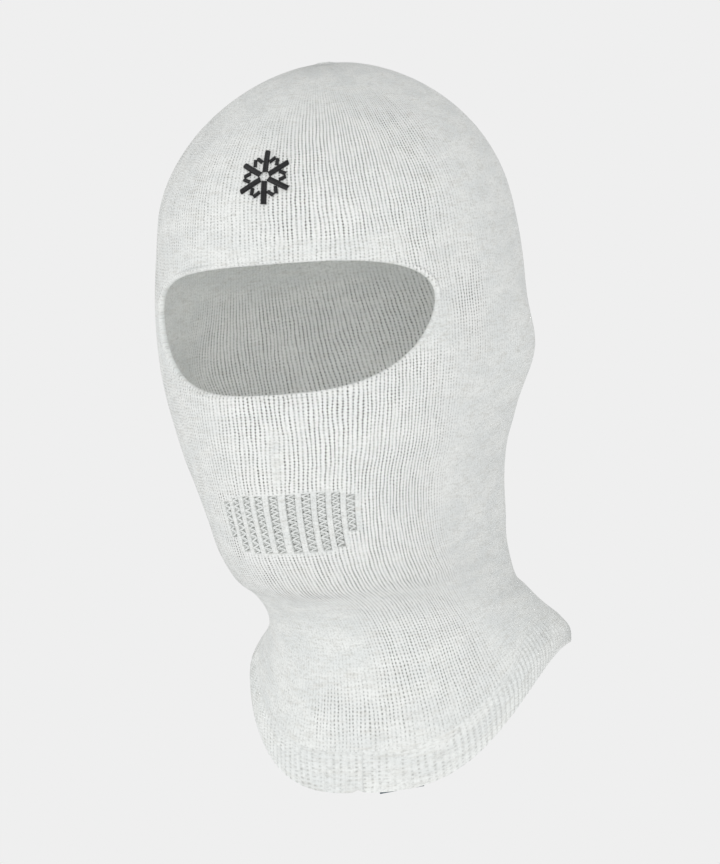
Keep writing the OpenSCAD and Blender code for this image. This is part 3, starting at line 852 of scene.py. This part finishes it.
# Crown: the last loops drawn together, with the locking thread through them
def crownGather():
    shares, turn = np.linspace(0.03, 1, 12), np.linspace(0, 360, 241)
    rim = skin(turn, np.full(turn.shape, form["closureRow"]))
    middle = rim[:-1].mean(axis=0)
    share = shares[:, None]
    puckers = np.cos(np.radians(turn) * 20)[None, :]
    rise = 0.55 * (1 - share ** 2) + 0.12 * puckers * share * (1.15 - share) * 2 - 0.7 * bell(share / 0.13)
    outer = middle + (rim - middle)[None] * share[..., None]
    inner = outer.copy()
    outer[..., 2] += rise
    inner[..., 2] = middle[2] - form["fabric"] + 0.3 * puckers * share
    stitch = np.stack([np.broadcast_to(turn / 18, rise.shape), share * 8 + 0 * rise], -1)
    ribs = 0.5 * share + 0 * rise
    cap = closedShell("crownGather", outer, inner, stitch, [ribs, ribs], ring=True)
    k = np.arange(0, 121)
    spin = k * tau / 60
    wave = 0.42 + 0.10 * np.cos(spin * 5) + 0.05 * (k > 60)
    around = np.degrees(spin) % 360
    x, y = (middle[n] + (np.interp(around, turn, rim[:, n]) - middle[n]) * wave for n in (0, 1))
    line = np.stack([x, y, middle[2] + 0.2 + 0.1 * np.sin(spin * 5)], -1)
    ups = np.broadcast_to(np.array([0.0, 0.0, 1.0]), line.shape)
    return cap, yarnTubes("crownLockingYarn", [(line, ups)], 0.42, 6, onFabric=False)


gather, lockingYarn = crownGather()
for piece in (gather, lockingYarn):
    finishPiece(piece, "melange_knit", "knit", "crown_closure")
print("crown closed")


# Snowflake: satin stitches side by side across every bar
snowflake = {"height": 72, "arm": 12.5, "bar": 2.4, "stitchPitch": 0.40, "thread": 0.25}
motifRow = float(rowOf(snowflake["height"]))
mmPerDegree = float(np.linalg.norm(skin(1, motifRow) - skin(-1, motifRow)) / 2)
mmPerRow = float(np.linalg.norm(skin(0, motifRow + 0.5) - skin(0, motifRow - 0.5)))


def motif(points):
    return points[..., 0] / mmPerDegree, motifRow - points[..., 1] / mmPerRow


def satinBar(start, end, width, low, high):
    run = end - start
    length = np.linalg.norm(run)
    along = run / length
    across = np.array([-along[1], along[0]])
    count = int(length / snowflake["stitchPitch"]) + 1
    paths = []
    for k in range(count):
        middle = start + along * (length * (k + 0.5) / count)
        s = np.linspace(-1, 1, 9)
        reach = width / 2 * (1 + 0.05 * math.sin(k * 2.4 + start[0]))
        line = middle + np.outer(s * reach, across) + np.outer(s * 0.16, along)
        angle, t = motif(line)
        lift = low + (high - low) * np.sqrt(np.clip(1 - s ** 4, 0, 1)) + 0.03 * math.sin(k * 1.7)
        paths.append((angle, t, lift))
    return paths


def snowflakePaths(width, low, high):
    paths = []
    for k in range(6):
        spin = math.radians(60 * k)
        out, side = np.array([math.sin(spin), math.cos(spin)]), np.array([math.cos(spin), -math.sin(spin)])
        paths += satinBar(2.1 * out, snowflake["arm"] * out, width, low, high)
        for hand in (-1, 1):
            root = 0.55 * snowflake["arm"] * out + hand * (width / 2 + 0.45) * side
            tip = root + 0.27 * snowflake["arm"] * (0.6 * out + 0.8 * hand * side)
            paths += satinBar(root, tip, 0.62 * width, low, high)
    return paths


stitching = yarnTubes("snowflakeStitching", snowflakePaths(snowflake["bar"], 0.05, 0.70),
                      snowflake["thread"], 6, 0.5, 0.1)
finishPiece(stitching, "black_thread", "knit", "snowflake_stitching")
bobbin = yarnTubes("snowflakeBobbinThread",
                   snowflakePaths(0.55 * snowflake["bar"], -form["fabric"] - 0.95, -form["fabric"] - 1.15),
                   0.2, 6, 0.5, 0.1)
finishPiece(bobbin, "white_thread", "knit", "snowflake_bobbin_thread")


def backingPatch():
    half = snowflake["arm"] + 3.5
    y, x = np.meshgrid(np.linspace(half, -half, 41), np.linspace(-half, half, 41), indexing="ij")
    angle, t = motif(np.stack([x, y], -1))
    wave = 0.06 * np.sin(x * 0.9 + 1) * np.sin(y * 0.7)
    outer, inner = (layer(angle, t, wave - form["fabric"] - depth) for depth in (0.42, 0.78))
    return closedShell("snowflakeBacking", outer, inner, np.stack([x, y], -1), [0 * x, 0 * x])


backing = finishPiece(backingPatch(), "backing_felt", "knit", "snowflake_backing")
print("snowflake sewn")


# Care label: a blank folded ribbon, tacked inside the hem
flap = frame["joints"][0]  # the label's own hinge, along its sewn edge
label = {"width": 20, "length": 15.3, "slant": 0.14, "layer": 0.22, "gap": 0.08}


def careLabel():
    seam = np.array(flap["pos_m"]) / mm
    across = np.array(flap["axis"])
    out = np.array([across[1], -across[0], 0])
    x = np.linspace(-label["width"] / 2, label["width"] / 2, 41)
    thick, straight, curl = label["layer"] + label["gap"] / 2, 30, np.radians(np.linspace(12, 168, 11))
    down = np.linspace(0, label["length"] - thick, straight)
    cut = 1 - label["slant"] * (x / label["width"] + 0.5)

    def profile(depth):
        fold = [(depth * math.cos(c), -down[-1] - depth * math.sin(c)) for c in curl]
        return np.array([(depth, -d) for d in down] + fold + [(-depth, -d) for d in down[::-1]])

    def place(line):
        wave = 0.03 * np.sin(x / 2.3)
        return (seam + across * x[None, :, None] + out * (line[:, :1] + wave)[..., None]
                + np.array([0, 0, 1]) * (line[:, 1:] * cut)[..., None])
    outer, core = profile(thick), profile(label["gap"] / 2)
    run = np.concatenate([[0], np.cumsum(np.linalg.norm(np.diff(outer, axis=0), axis=1))])
    stitch = np.stack(np.broadcast_arrays(x[None, :] + label["width"] / 2, run[:, None]), -1)
    none = np.zeros(stitch.shape[:2])
    return closedShell("careLabel", place(outer), place(core), stitch, [none, none]), seam, across, out


labelPiece, labelSeam, labelAcross, labelOut = careLabel()
finishPiece(labelPiece, "label_ribbon", "label", "care_label")


def labelStitches():
    count, s = 7, np.linspace(-1, 1, 11)[:, None]
    paths = []
    for k in range(count):
        middle = (k - (count - 1) / 2) * label["width"] / count
        line = labelSeam + labelAcross * (middle + 0.85 * s) + labelOut * (0.75 + 0.55 * s ** 2)
        paths.append((line + np.array([0, 0, 0.15]) * s, np.broadcast_to(-labelOut, line.shape)))
    return yarnTubes("labelStitches", paths, 0.3, 8, onFabric=False)


finishPiece(labelStitches(), "white_thread", "knit", "label_stitches")
print("label sewn")


# Studio: a pale floor and surround that shine softly, a broad front lamp, and a small one in the head
studio = {"pale": colour(239, 239, 239), "glow": 1.0, "fill": 0.84, "floorFill": 0.95, "floorDrop": 0.16,
          "floorSize": 14}


def paleGlow(tree, kind, end, fill):
    # looks even to the camera, and lights the knit a little less
    seen, glow = tree.nodes.new("ShaderNodeLightPath"), tree.nodes.new(kind)
    strength = tree.nodes.new("ShaderNodeMapRange")
    strength.inputs[3].default_value, strength.inputs[4].default_value = fill, studio["glow"]
    glow.inputs["Color"].default_value = studio["pale"]
    tree.links.new(seen.outputs["Is Camera Ray"], strength.inputs[0])
    tree.links.new(strength.outputs[0], glow.inputs["Strength"])
    tree.links.new(glow.outputs[0], end.inputs["Surface"])


def studioFloor():
    size, z = studio["floorSize"], cadLow.z - studio["floorDrop"]
    mesh = bpy.data.meshes.new("studioFloor")
    mesh.from_pydata([(x * size, y * size, z) for x, y in ((-1, -1), (1, -1), (1, 1), (-1, 1))], [],
                     [(0, 1, 2, 3)])
    floor = bpy.data.objects.new("studioFloor", mesh)
    bpy.context.scene.collection.objects.link(floor)
    pale = bpy.data.materials.new("studioPale")
    pale.use_nodes = True
    pale.node_tree.nodes.clear()
    paleGlow(pale.node_tree, "ShaderNodeEmission", pale.node_tree.nodes.new("ShaderNodeOutputMaterial"),
             studio["floorFill"])
    mesh.materials.append(pale)


studioFloor()
world = bpy.data.worlds.new("studioWorld")
world.use_nodes = True
world.node_tree.nodes.clear()
paleGlow(world.node_tree, "ShaderNodeBackground", world.node_tree.nodes.new("ShaderNodeOutputWorld"),
         studio["fill"])
bpy.context.scene.world = world
bpy.context.scene.view_settings.view_transform = "Standard"

lamps = {
    "frontLamp": {"azimuth": 17, "elevation": 4, "distance": 2.4, "size": 1.2, "power": 15.5},
    "leftLamp": {"azimuth": -75, "elevation": 5, "distance": 2.2, "size": 0.8, "power": 4.8},
}
for name, lamp in lamps.items():
    az, el = math.radians(lamp["azimuth"]), math.radians(lamp["elevation"])
    toward = Vector((math.sin(az) * math.cos(el), -math.cos(az) * math.cos(el), math.sin(el)))
    place = toward * lamp["distance"]
    light = bpy.data.lights.new(name, "AREA")
    light.energy, light.size = lamp["power"], lamp["size"]
    holder = bpy.data.objects.new(name, light)
    holder.matrix_world = Matrix.Translation(place) @ place.to_track_quat("Z", "Y").to_matrix().to_4x4()
    bpy.context.scene.collection.objects.link(holder)
inside = {"place": (0, -0.01, 0.01), "size": 0.03, "power": 0.06}
insideLamp = bpy.data.lights.new("insideLamp", "POINT")
insideLamp.energy, insideLamp.shadow_soft_size = inside["power"], inside["size"]
insideHolder = bpy.data.objects.new("insideLamp", insideLamp)
insideHolder.location, insideHolder.visible_camera = inside["place"], False
bpy.context.scene.collection.objects.link(insideHolder)
print("studio lit")


def evenSeams(pieces):
    # neighbouring zones share their edge's shading, so that no seam shows between them
    shared, edges = {}, []
    for piece in pieces:
        mesh = piece.data
        points, starts = np.empty(len(mesh.vertices) * 3), np.empty(len(mesh.loops), int)
        mesh.vertices.foreach_get("co", points)
        mesh.loops.foreach_get("vertex_index", starts)
        smooth, facing = np.empty(len(mesh.polygons), bool), np.empty(len(mesh.polygons) * 3)
        mesh.polygons.foreach_get("use_smooth", smooth)
        mesh.polygons.foreach_get("normal", facing)
        area = np.empty(len(mesh.polygons))
        mesh.polygons.foreach_get("area", area)
        points, corners = points.reshape(-1, 3), starts.reshape(-1, 4)
        weighted = facing.reshape(-1, 3) * area[:, None]
        normals = np.zeros(points.shape)
        for k in range(4):
            np.add.at(normals, corners[smooth, k], weighted[smooth])
        normals = unit(normals)
        border = np.unique(corners[~smooth])
        for v in border:
            shared.setdefault(tuple(np.round(points[v] / 2e-5).astype(int)), []).append(normals[v])
        edges.append((mesh, corners, smooth, border, points))
    for mesh, corners, smooth, border, points in edges:
        custom = np.zeros((len(corners), 4, 3))
        wanted = np.zeros((len(points), 3))
        for v in border:
            found = shared[tuple(np.round(points[v] / 2e-5).astype(int))]
            if len(found) > 1:
                wanted[v] = unit(np.sum(found, axis=0))
        custom[smooth] = wanted[corners[smooth]]
        mesh.normals_split_custom_set(custom.reshape(-1, 3).tolist())


evenSeams([bpy.data.objects[name] for name in list(zones) + ["hemRib"]])
print("seams evened")
